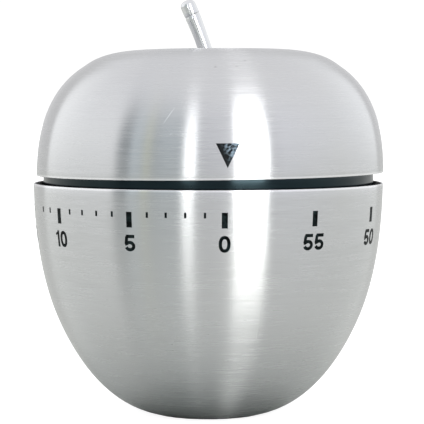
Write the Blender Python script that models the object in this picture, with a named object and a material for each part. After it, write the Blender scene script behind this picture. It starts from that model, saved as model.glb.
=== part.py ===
"""A mechanical sixty-minute kitchen timer shaped like an apple.

The lower half stands on the table and holds the clockwork and its bell. The upper half is the dial: it
turns on the main arbor, winds the spring and carries a steel stem. Sizes below are in millimetres and
become metres when a mesh is made. +Z is up, the origin is the middle of the foot, and the zero of the
minute scale faces -Y.
"""

import math

import bmesh
import bpy
from mathutils import Vector

MM = 0.001
GAP = 0.3  # clearance between two pieces that touch on the real timer
SHELL_SIDES = 32  # flats round the large turned pieces
ROUND_SIDES = 16  # flats round the small ones

# ---- the apple's outline: radius and height of each curve's ends and handles ----
SKIN = 0.55  # thickness of the pressed steel skins
BODY_RADIUS = 31.0
LOWER_RIM_Z = 40.9
FOOT_RADIUS = 10.85
FOOT_LIP_Z = 0.2
LOWER_CURVE = (
    ((BODY_RADIUS, LOWER_RIM_Z), (30.8, 29.85), (29.1, 22.55), (26.95, 17.35)),
    ((26.95, 17.35), (24.1, 10.55), (18.95, 2.3), (FOOT_RADIUS, FOOT_LIP_Z)),
)
DIAL_RADIUS = 30.75
DIAL_RIM_Z = 42.5
CREST_RADIUS = 10.75
CREST_Z = 64.45
DIMPLE_FLOOR_RADIUS = 2.9
DIMPLE_FLOOR_Z = 61.4
DIAL_CURVE = (
    ((DIAL_RADIUS, DIAL_RIM_Z), (30.75, 49.9), (29.1, 57.3), (22.75, 61.45)),
    ((22.75, 61.45), (21.6, 62.2), (19.4, CREST_Z), (CREST_RADIUS, CREST_Z)),
    ((CREST_RADIUS, CREST_Z), (6.6, CREST_Z), (5.6, DIMPLE_FLOOR_Z), (DIMPLE_FLOOR_RADIUS, DIMPLE_FLOOR_Z)),
)

# ---- lower half ----
HOUSING_WALL = 1.4
HOUSING_TOP_Z = 37.8
HOUSING_LIP_RADIUS = 29.75  # inside of the thin lip that fills the gap between skin and collar
HOUSING_LIP_Z = 40.75
HOUSING_FLOOR_Z = (1.5, 2.9)
PAD_RADIUS = 10.2
PAD_HEIGHT = 1.2
BASE_SCREW_CIRCLE = 7.8
SOUND_HOLE_CIRCLE = 6.6
SOUND_HOLE_RADIUS = 1.3
DECK_Z = (34.8, 36.2)
DECK_RADIUS = 27.8
BOSS_CIRCLE = 25.6
BOSS_RADIUS = 1.9
BOSS_Z = (22.4, 34.5)
BELL_FLOOR_Z = 4.4
BELL_RIM_Z = 12.6
BELL_RADIUS = 17.0
BELL_WALL = 0.7
BELL_POST_RADIUS = 2.2
BELL_POST_FOOT_RADIUS = 3.0
BELL_POST_FLANGE = (3.4, 1.1)  # radius and thickness of the flange under the bottom plate
SCREW_SHANK_RADIUS = 0.75
SCREW_HOLE_RADIUS = 0.8

# ---- movement, from the bottom plate up ----
PLATE_RADIUS = 23.4
BOTTOM_PLATE_Z = (18.0, 19.0)
TOP_PLATE_Z = (33.5, 34.5)
PILLAR_CIRCLE = 21.4
PILLAR_RADIUS = 1.5
PILLAR_ANGLES = (125, 200, 275, 350)
STRIKE_CAM_Z = (19.6, 20.6)
SECOND_WHEEL_Z = (21.2, 22.0)
GREAT_WHEEL_Z = (22.8, 23.8)
RATCHET_Z = (24.1, 24.9)
THIRD_WHEEL_Z = (25.8, 26.6)
SPRING_Z = (27.3, 32.3)
BALANCE_Z = (27.5, 28.4)
ESCAPE_WHEEL_Z = (29.5, 30.3)
PALLET_LEVER_Z = (31.0, 31.8)
PIVOT_RADIUS = 0.45
ARBOR_RADIUS = 0.75
MAIN_ARBOR_RADIUS = 1.2
MAIN_ARBOR_BODY_RADIUS = 2.0
MAIN_ARBOR_TOP_Z = 46.5
MAIN_BUSH_RADIUS = 2.4
SPRING_TURNS = 5.5
SPRING_COIL = (2.7, 9.2)  # radius of the innermost and outermost coil
SPRING_STRIP = 0.32  # thickness of the strip
SPRING_POST_PLACE = (-10.5, 0)
CLICK_PLACE = (6.9, -3.2)
BALANCE_RADIUS = 3.9

# ---- gear train: each wheel drives the pinion of the next arbor ----
WHEEL_TEETH = 48
PINION_LEAVES = 8
GREAT_MODULE = 0.46
SECOND_MODULE = 0.37
THIRD_MODULE = 0.32
ESCAPE_TEETH = 18
ESCAPE_RADIUS = 5.0
SECOND_ANGLE = 90.0  # bearing of the second arbor from the main arbor, in degrees
THIRD_DISTANCE = 15.0  # from the main arbor
ESCAPE_DISTANCE = 16.5  # from the main arbor
PALLET_SPAN = 50.0  # half angle between the two pallet pins, seen from the escape arbor
PALLET_PIN_RADIUS = 0.25
PALLET_PIN_CLEARANCE = 0.1
PALLET_BEARING = -110.0  # bearing of the verge from the escape arbor

# ---- hammer and dial stop ----
HAMMER_DISTANCE = 15.0
HAMMER_BEARING = 237.0
HAMMER_HEAD_CIRCLE = 13.85
HAMMER_HEAD_BEARING = 300.0
HAMMER_ARBOR_RADIUS = 1.0
HAMMER_ARM_Z = (15.4, 16.4)
TRIP_TIP = (-7.8, 3.0)
STRIKE_CAM_RADIUS = 6.2
STRIKE_CAM_DROP = 1.6
STOP_CIRCLE = 24.0
STOP_BEARING = 255.0
STOP_HALF_ANGLE = 3.03  # half of the angle that the two stop pins keep apart
STOP_PIN_RADIUS = 0.5

# ---- moulded inner part of the dial ----
COLLAR_RADIUS = 29.4
COLLAR_INNER = 28.2
COLLAR_BOTTOM_Z = 38.6
COLLAR_SEAT_Z = 42.9
COLLAR_SEAT_STEP = 0.4
WEB_Z = (44.6, 46.0)
LINER_TOP_Z = 46.8
HUB_RADIUS = 4.6
HUB_BORE = 2.9
HUB_BOTTOM_Z = 37.4
STEM_POST_RADIUS = 4.2
STEM_POST_BORE = 2.5
STEM_POST_FLOOR_Z = 52.6

# ---- stem ----
STEM_RADIUS = 1.25
STEM_TIP_RADIUS = 1.36
STEM_FOOT_Z = 53.2
STEM_BEND_Z = 61.6
STEM_TIP = (-4.05, 73.1)
STEM_LEAN = math.radians(21.8)
STEM_STRAIGHT = 9.6  # length of the straight part above the bend

FINISHES = {
    # name: colour, metallic, roughness
    "brushed_steel": ((0.62, 0.63, 0.63, 1), 1.0, 0.34),
    "polished_steel": ((0.75, 0.76, 0.77, 1), 1.0, 0.08),
    "plate_steel": ((0.50, 0.51, 0.52, 1), 1.0, 0.30),
    "spring_steel": ((0.22, 0.25, 0.32, 1), 1.0, 0.25),
    "brass": ((0.72, 0.52, 0.22, 1), 1.0, 0.28),
    "gloss_black": ((0.012, 0.013, 0.015, 1), 0.0, 0.16),
    "matte_black": ((0.02, 0.02, 0.022, 1), 0.0, 0.55),
    "rubber": ((0.025, 0.025, 0.025, 1), 0.0, 0.85),
}


# ---- shared tools ----

def clear_scene():
    for obj in list(bpy.data.objects):
        bpy.data.objects.remove(obj, do_unlink=True)


def finish(name):
    """The Principled material of one finish, made on first use."""
    material = bpy.data.materials.get(name)
    if material is None:
        colour, metallic, roughness = FINISHES[name]
        material = bpy.data.materials.new(name)
        material.use_nodes = True
        shader = material.node_tree.nodes["Principled BSDF"]
        shader.inputs["Base Color"].default_value = colour
        shader.inputs["Metallic"].default_value = metallic
        shader.inputs["Roughness"].default_value = roughness
    return material


def polar(radius, degrees):
    """The point at a distance and a bearing from the axis."""
    angle = math.radians(degrees)
    return (radius * math.cos(angle), radius * math.sin(angle))


def bearing(start, end):
    """The direction from one point to another, in degrees."""
    return math.degrees(math.atan2(end[1] - start[1], end[0] - start[0]))


def empty(name, place=(0.0, 0.0)):
    """The axis of one moving body: its pieces hang from this empty."""
    axis = bpy.data.objects.new(name, None)
    axis.location = (place[0] * MM, place[1] * MM, 0)
    bpy.context.collection.objects.link(axis)
    return axis


def add_object(name, bm, finish_name, parent=None, smooth_angle=35):
    """Turn a bmesh in millimetres into a named object with smooth round sides."""
    bmesh.ops.recalc_face_normals(bm, faces=bm.faces)
    bmesh.ops.scale(bm, vec=(MM, MM, MM), verts=bm.verts)
    mesh = bpy.data.meshes.new(name)
    bm.to_mesh(mesh)
    bm.free()
    mesh.shade_smooth()
    mesh.set_sharp_from_angle(angle=math.radians(smooth_angle))
    obj = bpy.data.objects.new(name, mesh)
    bpy.context.collection.objects.link(obj)
    obj.parent = parent
    if finish_name:
        mesh.materials.append(finish(finish_name))
    return obj


def spin_outline(bm, outline, segments, centre=(0.0, 0.0)):
    """Turn an outline of (radius, height) points about the vertical line through centre.

    An outline that starts and ends on the axis is closed by the axis, any other by its own last edge.
    """
    x, y = centre
    corners = [bm.verts.new((x + radius, y, height)) for radius, height in outline]
    edges = [bm.edges.new(pair) for pair in zip(corners, corners[1:])]
    if outline[0][0] > 0 or outline[-1][0] > 0:
        edges.append(bm.edges.new((corners[-1], corners[0])))
    bmesh.ops.spin(
        bm, geom=corners + edges, cent=(x, y, 0), axis=(0, 0, 1), angle=math.tau,
        steps=segments, use_merge=True,
    )
    on_axis = [v for v in bm.verts if math.hypot(v.co.x - x, v.co.y - y) < 1e-4]
    bmesh.ops.remove_doubles(bm, verts=on_axis, dist=1e-4)


def turned(name, outline, finish_name, segments=24, parent=None, centre=(0.0, 0.0)):
    """A solid turned about the vertical line through centre."""
    bm = bmesh.new()
    spin_outline(bm, outline, segments, centre)
    return add_object(name, bm, finish_name, parent)


def rod(radius, low, high):
    """The outline of a plain round bar."""
    return [(0, low), (radius, low), (radius, high), (0, high)]


def ring(inner, outer, low, high):
    """The outline of a flat washer."""
    return [(inner, low), (outer, low), (outer, high), (inner, high)]


def stamped(name, outline, holes, height, finish_name, parent=None):
    """A flat piece of constant thickness: a closed outline with holes, raised from height[0] to height[1]."""
    bm = bmesh.new()
    edges = []
    for loop in [outline, *holes]:
        corners = [bm.verts.new((x, y, height[0])) for x, y in loop]
        edges += [bm.edges.new((a, b)) for a, b in zip(corners, corners[1:] + corners[:1])]
    bmesh.ops.triangle_fill(bm, use_beauty=True, edges=edges)
    raised = bmesh.ops.extrude_face_region(bm, geom=bm.faces[:])["geom"]
    verts = [g for g in raised if isinstance(g, bmesh.types.BMVert)]
    bmesh.ops.translate(bm, vec=(0, 0, height[1] - height[0]), verts=verts)
    return add_object(name, bm, finish_name, parent)


def circle(radius, sides, centre=(0.0, 0.0)):
    """The corners of a round hole or disc."""
    x, y = centre
    steps = [math.tau * i / sides for i in range(sides)]
    return [(x + radius * math.cos(a), y + radius * math.sin(a)) for a in steps]


def bridge(bm, near, far):
    """Join two loops of as many corners with a band of faces."""
    for i in range(len(near)):
        j = (i + 1) % len(near)
        bm.faces.new((near[i], near[j], far[j], far[i]))


def helper(name, columns):
    """Round columns (x, y, radius, low, high) that a Boolean adds or cuts, left out of the model."""
    bm = bmesh.new()
    for x, y, radius, low, high in columns:
        spin_outline(bm, rod(radius, low, high), 12, (x, y))
    obj = add_object(name, bm, None)
    obj.hide_render = True
    obj.display_type = "WIRE"
    return obj


def boolean(obj, operation, columns):
    """Add columns to a piece ("UNION") or drill them out of it ("DIFFERENCE")."""
    modifier = obj.modifiers.new(operation.title(), "BOOLEAN")
    modifier.operation = operation
    modifier.object = helper(f"{operation.lower()}_{obj.name}", columns)


def curve_points(curve, inset=0.0, steps=4):
    """Points along joined Bezier curves, moved inwards by inset, square to the curve."""
    points = []
    for number, (p0, p1, p2, p3) in enumerate(curve):
        last = number == len(curve) - 1
        for step in range(steps + 1 if last else steps):
            t = step / steps
            u = 1 - t
            spot = [
                u**3 * a + 3 * u * u * t * b + 3 * u * t * t * c + t**3 * d
                for a, b, c, d in zip(p0, p1, p2, p3)
            ]
            slope = [
                3 * u * u * (b - a) + 6 * u * t * (c - b) + 3 * t * t * (d - c)
                for a, b, c, d in zip(p0, p1, p2, p3)
            ]
            length = math.hypot(*slope)
            side = inset if curve is LOWER_CURVE else -inset
            points.append((spot[0] + side * slope[1] / length, spot[1] - side * slope[0] / length))
    return points


def above(points, height):
    """The part of a falling line of points above a height, ending at that height."""
    kept = [p for p in points if p[1] > height]
    r0, z0 = points[len(kept) - 1]
    r1, z1 = points[len(kept)]
    return kept + [(r0 + (r1 - r0) * (z0 - height) / (z0 - z1), height)]


def below(points, height):
    """The part of a falling line of points below a height, starting at that height."""
    kept = [p for p in points if p[1] < height]
    r0, z0 = points[len(points) - len(kept) - 1]
    r1, z1 = kept[0]
    return [(r0 + (r1 - r0) * (z0 - height) / (z0 - z1), height)] + kept


# ---- gears ----

def wheel_outline(teeth, module, mid_angle):
    """A clock wheel's outline, with one tooth centred on mid_angle (degrees): straight, narrowing teeth."""
    pitch_radius = teeth * module / 2
    tip, root = pitch_radius + 1.1 * module, pitch_radius - 1.35 * module
    corners = ((root, -1.0), (tip, 0.0), (root, 1.0))
    points = []
    for tooth in range(teeth):
        middle = math.radians(mid_angle) + math.tau * tooth / teeth
        for radius, half_width in corners:
            angle = middle + half_width * module / radius
            points.append((radius * math.cos(angle), radius * math.sin(angle)))
    return points


def pinion_outline(leaves, module, mid_angle):
    """A clock pinion's outline, with a gap centred on mid_angle (degrees): narrow, radial leaves."""
    pitch_radius = leaves * module / 2
    tip, root = pitch_radius + 0.55 * module, pitch_radius - 1.45 * module
    half = 0.45 * module / pitch_radius
    corners = ((root, -half), (tip, -0.6 * half), (tip, 0.6 * half), (root, half))
    points = []
    for leaf in range(leaves):
        middle = math.radians(mid_angle) + math.tau * (leaf + 0.5) / leaves
        for radius, offset in corners:
            points.append((radius * math.cos(middle + offset), radius * math.sin(middle + offset)))
    return points


def saw_outline(teeth, tip, root, mid_angle, lean):
    """Pointed teeth leaning one way, with one tip at mid_angle (degrees)."""
    points = []
    for tooth in range(teeth):
        start = mid_angle + 360 * tooth / teeth
        points.append(polar(tip, start))
        points.append(polar(root, start + lean))
        points.append(polar(root, start + 0.5 * (lean + 360 / teeth)))
    return points


def train_layout():
    """Where each arbor stands, from the gears' pitch radii."""
    mesh = (WHEEL_TEETH + PINION_LEAVES) / 2

    def turn(near, far, side):
        """The angle between two distances from the main arbor whose ends are side apart."""
        return math.degrees(math.acos((near**2 + far**2 - side**2) / (2 * near * far)))

    second_distance = mesh * GREAT_MODULE
    third_angle = SECOND_ANGLE - turn(second_distance, THIRD_DISTANCE, mesh * SECOND_MODULE)
    escape_angle = third_angle - turn(THIRD_DISTANCE, ESCAPE_DISTANCE, mesh * THIRD_MODULE)
    escape = polar(ESCAPE_DISTANCE, escape_angle)
    reach = (ESCAPE_RADIUS + PALLET_PIN_CLEARANCE + PALLET_PIN_RADIUS) / math.cos(math.radians(PALLET_SPAN))
    step = polar(reach, PALLET_BEARING)
    return {
        "second": polar(second_distance, SECOND_ANGLE),
        "third": polar(THIRD_DISTANCE, third_angle),
        "escape": escape,
        "verge": (escape[0] + step[0], escape[1] + step[1]),
        "hammer": polar(HAMMER_DISTANCE, HAMMER_BEARING),
    }


def train_arbor(name, pinion_height, facing, module, parent):
    """A steel arbor between the plates with a pinion cut on it; a pinion gap faces the driving wheel."""
    low, high = BOTTOM_PLATE_Z[0], TOP_PLATE_Z[1]
    seat_low, seat_high = BOTTOM_PLATE_Z[1] + GAP, TOP_PLATE_Z[0] - GAP
    leaves = pinion_outline(PINION_LEAVES, module, facing)
    neck = min(ARBOR_RADIUS, 0.9 * min(math.hypot(*leaf) for leaf in leaves))
    lower_end = [(neck, pinion_height[0]), (neck, seat_low), (PIVOT_RADIUS, seat_low), (PIVOT_RADIUS, low)]
    upper_end = [(neck, pinion_height[1]), (neck, seat_high), (PIVOT_RADIUS, seat_high), (PIVOT_RADIUS, high)]
    bm = bmesh.new()
    loops = [[bm.verts.new((x, y, height)) for x, y in leaves] for height in pinion_height]
    bridge(bm, *loops)
    for loop, sections in zip(loops, (lower_end, upper_end)):
        rings = [[bm.verts.new((x, y, height)) for x, y in circle(radius, 8)] for radius, height in sections]
        edges = [bm.edges.get(pair) or bm.edges.new(pair) for pair in zip(loop, loop[1:] + loop[:1])]
        edges += [bm.edges.new(pair) for pair in zip(rings[0], rings[0][1:] + rings[0][:1])]
        bmesh.ops.triangle_fill(bm, use_beauty=True, edges=edges)
        for near, far in zip(rings, rings[1:]):
            bridge(bm, near, far)
        bm.faces.new(rings[-1])
    return add_object(name, bm, "plate_steel", parent)


def spoked_wheel(name, outline, rim_inner, hub, bore, height, parent, spokes=4):
    """A brass wheel with windows between its spokes."""
    windows = []
    for spoke in range(spokes):
        start, end = 360 * spoke / spokes, 360 * (spoke + 1) / spokes
        near = math.degrees(0.9 / hub)
        far = math.degrees(0.7 / rim_inner)
        outer = [polar(rim_inner, start + far + (end - start - 2 * far) * i / 4) for i in range(5)]
        inner = [polar(hub, end - near - (end - start - 2 * near) * i / 2) for i in range(3)]
        windows.append(outer + inner)
    return stamped(name, outline, [circle(bore, 16), *windows], height, "brass", parent)


# ---- lower half: skin, housing, foot and bell ----

def lower_shell():
    outline = curve_points(LOWER_CURVE) + curve_points(LOWER_CURVE, SKIN)[::-1]
    return turned("lower_shell", outline, "brushed_steel", SHELL_SIDES)


def lower_housing():
    """A moulded cup that fills the skin, with a thin lip, bosses for the deck and holes in its floor."""
    outer = above(below(curve_points(LOWER_CURVE, SKIN + GAP), HOUSING_LIP_Z), HOUSING_FLOOR_Z[0])
    wall = curve_points(LOWER_CURVE, SKIN + GAP + HOUSING_WALL)
    inner = above(below(wall, HOUSING_TOP_Z), HOUSING_FLOOR_Z[1])
    lip = [(HOUSING_LIP_RADIUS, HOUSING_LIP_Z), (HOUSING_LIP_RADIUS, HOUSING_TOP_Z)]
    outline = [(0, HOUSING_FLOOR_Z[0])] + outer[::-1] + lip + inner + [(0, HOUSING_FLOOR_Z[1])]
    housing = turned("lower_housing", outline, "matte_black", SHELL_SIDES)
    bosses = [(*polar(BOSS_CIRCLE, angle), BOSS_RADIUS, *BOSS_Z) for angle in deck_screw_angles()]
    boolean(housing, "UNION", bosses)
    drill = (HOUSING_FLOOR_Z[0] - 1, HOUSING_FLOOR_Z[1] + 1)
    bore = SCREW_HOLE_RADIUS + GAP
    holes = [(*polar(BASE_SCREW_CIRCLE, angle), bore, *drill) for angle in base_screw_angles()]
    holes += [(*polar(SOUND_HOLE_CIRCLE, a + 60), SOUND_HOLE_RADIUS, *drill) for a in base_screw_angles()]
    holes += [(*polar(BOSS_CIRCLE, a), bore, BOSS_Z[1] - 6, BOSS_Z[1] + 1) for a in deck_screw_angles()]
    boolean(housing, "DIFFERENCE", holes)


def base_screw_angles():
    return [30 + 120 * i for i in range(3)]


def deck_screw_angles():
    return [90 + 120 * i for i in range(3)]


def foot_pad():
    """The rubber pad that the timer stands on, with screw recesses and sound holes right through."""
    recesses = [circle(1.8, 10, polar(BASE_SCREW_CIRCLE, a)) for a in base_screw_angles()]
    sound = [circle(SOUND_HOLE_RADIUS, 10, polar(SOUND_HOLE_CIRCLE, a + 60)) for a in base_screw_angles()]
    stamped("foot_pad", circle(PAD_RADIUS, 28), recesses + sound, (0, PAD_HEIGHT), "rubber")


def screw(name, place, head_radius, head_z, shank_radius, shank_end, finish_name="plate_steel"):
    """A pan-head screw along Z: the head spans head_z, and the shank runs on to shank_end."""
    base, crown = head_z
    outline = [(0, shank_end), (shank_radius, shank_end), (shank_radius, base), (head_radius, base)]
    outline += [(head_radius, base + 0.55 * (crown - base)), (0.72 * head_radius, crown), (0, crown)]
    turned(name, outline, finish_name, 10, centre=place)


def base_screws():
    for number, angle in enumerate(base_screw_angles(), 1):
        place = polar(BASE_SCREW_CIRCLE, angle)
        head = (PAD_HEIGHT - 0.1, 0.3)
        screw(f"base_screw_{number}", place, 1.45, head, SCREW_SHANK_RADIUS, HOUSING_FLOOR_Z[1] + 0.1)


def bell():
    """A shallow steel bowl, mouth up, with a hole for its screw."""
    hole = 2.0
    curve = [(hole, BELL_FLOOR_Z), (11.0, BELL_FLOOR_Z), (15.3, BELL_FLOOR_Z + 1.6)]
    curve += [(16.7, BELL_FLOOR_Z + 4.6), (BELL_RADIUS, BELL_RIM_Z)]
    inside = [(BELL_RADIUS - BELL_WALL, BELL_RIM_Z), (16.0, BELL_FLOOR_Z + 4.8), (14.7, BELL_FLOOR_Z + 2.1)]
    inside += [(10.8, BELL_FLOOR_Z + BELL_WALL), (hole, BELL_FLOOR_Z + BELL_WALL)]
    turned("bell", curve + inside, "polished_steel", 28)


def bell_post():
    """A steel post under the bottom plate that the bell hangs from, and the screw through the bell."""
    low = BELL_FLOOR_Z + BELL_WALL + GAP
    screw_bore, screw_depth = 1.1, 3.0
    foot, post = BELL_POST_FOOT_RADIUS, BELL_POST_RADIUS
    flange, thickness = BELL_POST_FLANGE
    high = BOTTOM_PLATE_Z[0] - 0.7
    outline = [(0, low + screw_depth), (screw_bore, low + screw_depth), (screw_bore, low), (foot, low)]
    outline += [(foot, low + 1), (post, low + 1.6), (post, high - thickness), (flange, high - thickness)]
    outline += [(flange, high), (0, high)]
    turned("bell_post", outline, "plate_steel", 16)
    head = (BELL_FLOOR_Z - GAP, BELL_FLOOR_Z - 1.1)
    screw("bell_screw", (0, 0), 1.9, head, SCREW_HOLE_RADIUS, low + screw_depth - 0.4)


def deck():
    """The moulded disc that closes the lower half under the dial."""
    bore = SCREW_HOLE_RADIUS + GAP
    holes = [circle(MAIN_ARBOR_RADIUS + 0.9, 12)]
    holes += [circle(bore, 8, polar(BOSS_CIRCLE, a)) for a in deck_screw_angles()]
    holes += [circle(bore, 8, polar(PILLAR_CIRCLE, a)) for a in PILLAR_ANGLES]
    stamped("deck", circle(DECK_RADIUS, SHELL_SIDES), holes, DECK_Z, "matte_black")
    head, shank = (DECK_Z[1] + GAP, DECK_Z[1] + GAP + 1), SCREW_SHANK_RADIUS
    for number, angle in enumerate(deck_screw_angles(), 1):
        screw(f"deck_screw_{number}", polar(BOSS_CIRCLE, angle), 1.6, head, shank, BOSS_Z[1] - 5)
    for number, angle in enumerate(PILLAR_ANGLES, 1):
        place = polar(PILLAR_CIRCLE, angle)
        screw(f"movement_screw_{number}", place, 1.6, head, shank, TOP_PLATE_Z[0] - 2.5)


# ---- movement: plates, pillars, bushes and springs ----

def plates(places):
    """The two steel plates, with holes for the pivots, the pillars and the main arbor's bushes."""
    names = ("second", "third", "escape", "verge")
    holes = [circle(PIVOT_RADIUS + 0.2, 8, places[name]) for name in names]
    holes.append(circle(HAMMER_ARBOR_RADIUS + GAP, 10, places["hammer"]))
    holes.append(circle(MAIN_BUSH_RADIUS + GAP, ROUND_SIDES))
    holes += [circle(SCREW_HOLE_RADIUS + GAP, 8, polar(PILLAR_CIRCLE, a)) for a in PILLAR_ANGLES]
    disc = circle(PLATE_RADIUS, 28)
    stamped("bottom_plate", disc, holes, BOTTOM_PLATE_Z, "plate_steel")
    stamped("top_plate", disc, holes, TOP_PLATE_Z, "plate_steel")


def pillars():
    """Four brass pillars: a spigot through the bottom plate and a screw hole in the top."""
    low, high = BOTTOM_PLATE_Z[1] + GAP, TOP_PLATE_Z[0] - GAP
    for number, angle in enumerate(PILLAR_ANGLES, 1):
        spigot, bore, depth = 0.8, 1.08, 3.0
        outline = [(0, BOTTOM_PLATE_Z[0]), (spigot, BOTTOM_PLATE_Z[0]), (spigot, low), (PILLAR_RADIUS, low)]
        outline += [(PILLAR_RADIUS, high), (bore, high), (bore, high - depth), (0, high - depth)]
        turned(f"pillar_{number}", outline, "brass", 12, centre=polar(PILLAR_CIRCLE, angle))


def main_bushes():
    inner = MAIN_ARBOR_RADIUS + GAP
    turned("main_bush_lower", ring(inner, MAIN_BUSH_RADIUS, *BOTTOM_PLATE_Z), "brass", ROUND_SIDES)
    turned("main_bush_upper", ring(inner, MAIN_BUSH_RADIUS, *TOP_PLATE_Z), "brass", ROUND_SIDES)


def mainspring():
    """A coiled steel strip around the main arbor, hooked outside on the spring post."""
    inner, outer = SPRING_COIL
    count = int(SPRING_TURNS * 16)
    centre_line = []
    for step in range(count + 1):
        share = step / count
        centre_line.append((inner + (outer - inner) * share, 180 - 360 * SPRING_TURNS * (1 - share)))
    outside = [polar(radius + SPRING_STRIP / 2, angle) for radius, angle in centre_line]
    inside = [polar(radius - SPRING_STRIP / 2, angle) for radius, angle in centre_line]
    stamped("mainspring", outside + inside[::-1], [], SPRING_Z, "spring_steel")
    post = rod(0.7, SPRING_Z[0], TOP_PLATE_Z[0] - GAP)
    turned("spring_post", post, "plate_steel", 12, centre=SPRING_POST_PLACE)


def hammer_spring(place):
    """A small wire coil round the hammer arbor."""
    bm = bmesh.new()
    coil_radius, wire, turns, pitch, low = 2.0, 0.22, 3.5, 0.7, 22.0
    per_turn, sides = 8, 5
    up = Vector((0, 0, 1))
    rings = []
    for step in range(int(turns * per_turn) + 1):
        angle = math.tau * step / per_turn
        outward = Vector((math.cos(angle), math.sin(angle), 0))
        middle = coil_radius * outward + (low + pitch * step / per_turn) * up
        loop = []
        for side in range(sides):
            turn = math.tau * side / sides
            loop.append(bm.verts.new(middle + wire * (math.cos(turn) * outward + math.sin(turn) * up)))
        rings.append(loop)
    for near, far in zip(rings, rings[1:]):
        bridge(bm, near, far)
    bm.faces.new(rings[0])
    bm.faces.new(rings[-1])
    bmesh.ops.translate(bm, vec=(*place, 0), verts=bm.verts)
    add_object("hammer_spring", bm, "spring_steel")


def stop_pin():
    """The fixed pin on the deck that ends the dial's turn."""
    place = polar(STOP_CIRCLE, STOP_BEARING)
    turned("stop_pin", rod(STOP_PIN_RADIUS, DECK_Z[1] + GAP, 42.4), "plate_steel", 12, centre=place)


# ---- dial: upper half, stem and everything on the main arbor ----

def upper_shell(axis):
    hole = STEM_RADIUS + GAP
    outline = curve_points(DIAL_CURVE) + [(hole, DIMPLE_FLOOR_Z), (hole, DIMPLE_FLOOR_Z - SKIN)]
    outline += curve_points(DIAL_CURVE, SKIN)[::-1]
    turned("upper_shell", outline, "brushed_steel", SHELL_SIDES, axis)


def upper_liner(axis):
    """The moulded inner part of the dial: collar, web, hub and the post under the stem."""
    web_low, web_high = WEB_Z
    bore_end = MAIN_ARBOR_TOP_Z + 0.5
    post_top = DIMPLE_FLOOR_Z - SKIN - GAP
    seat = COLLAR_RADIUS + COLLAR_SEAT_STEP
    outline = [(0, bore_end), (HUB_BORE, bore_end), (HUB_BORE, HUB_BOTTOM_Z), (HUB_RADIUS, HUB_BOTTOM_Z)]
    outline += [(HUB_RADIUS, web_low), (COLLAR_INNER, web_low), (COLLAR_INNER, COLLAR_BOTTOM_Z)]
    outline += [(COLLAR_RADIUS, COLLAR_BOTTOM_Z), (COLLAR_RADIUS, COLLAR_SEAT_Z)]
    outline += [(seat, COLLAR_SEAT_Z + 0.3), (seat - 0.05, LINER_TOP_Z), (COLLAR_INNER + 0.4, LINER_TOP_Z)]
    outline += [(COLLAR_INNER, web_high), (STEM_POST_RADIUS, web_high), (STEM_POST_RADIUS, post_top)]
    outline += [(STEM_POST_BORE, post_top), (STEM_POST_BORE, STEM_POST_FLOOR_Z), (0, STEM_POST_FLOOR_Z)]
    turned("upper_liner", outline, "gloss_black", SHELL_SIDES, axis)


def stem_path():
    """Points up the stem: straight up through the dimple's floor, bent once, then leaning to its tip."""
    tip_x, tip_z = STEM_TIP
    lean = Vector((-math.sin(STEM_LEAN), math.cos(STEM_LEAN)))
    straight_end = Vector((tip_x, tip_z)) - lean * STEM_STRAIGHT
    points = [Vector((0, STEM_FOOT_Z)), Vector((0, STEM_BEND_Z - 0.6))]
    start, knee = Vector((0, STEM_BEND_Z)), Vector((0, STEM_BEND_Z + 1.4))
    for step in range(5):
        t = step / 4
        points.append((1 - t) ** 2 * start + 2 * (1 - t) * t * knee + t * t * straight_end)
    points += [straight_end + lean * s for s in (4.0, 7.0)]
    return points, lean


def stem(axis):
    """A bent steel rod with a rounded end."""
    points, lean = stem_path()
    tip = Vector(STEM_TIP)
    radii = [STEM_RADIUS - 0.02] * (len(points) - 1) + [STEM_TIP_RADIUS]
    for back, radius in ((0.75, STEM_TIP_RADIUS), (0.25, 0.9), (0.02, 0.4)):
        points.append(tip - lean * back)
        radii.append(radius)
    sides = 12
    bm = bmesh.new()
    rings = []
    for number, (spot, radius) in enumerate(zip(points, radii)):
        before, after = points[max(number - 1, 0)], points[min(number + 1, len(points) - 1)]
        along = (after - before).normalized()
        across = Vector((along.y, -along.x))
        loop = []
        for side in range(sides):
            angle = math.tau * side / sides
            x = spot.x + radius * math.cos(angle) * across.x
            z = spot.y + radius * math.cos(angle) * across.y
            loop.append(bm.verts.new((x, radius * math.sin(angle), z)))
        rings.append(loop)
    for near, far in zip(rings, rings[1:]):
        bridge(bm, near, far)
    bm.faces.new(rings[0])
    bm.faces.new(rings[-1])
    add_object("stem", bm, "polished_steel", axis)
    insert = ring(STEM_RADIUS + GAP, 2.2, STEM_POST_FLOOR_Z + 0.4, DIMPLE_FLOOR_Z - SKIN - 2 * GAP)
    turned("stem_insert", insert, "brass", 12, axis)


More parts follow.
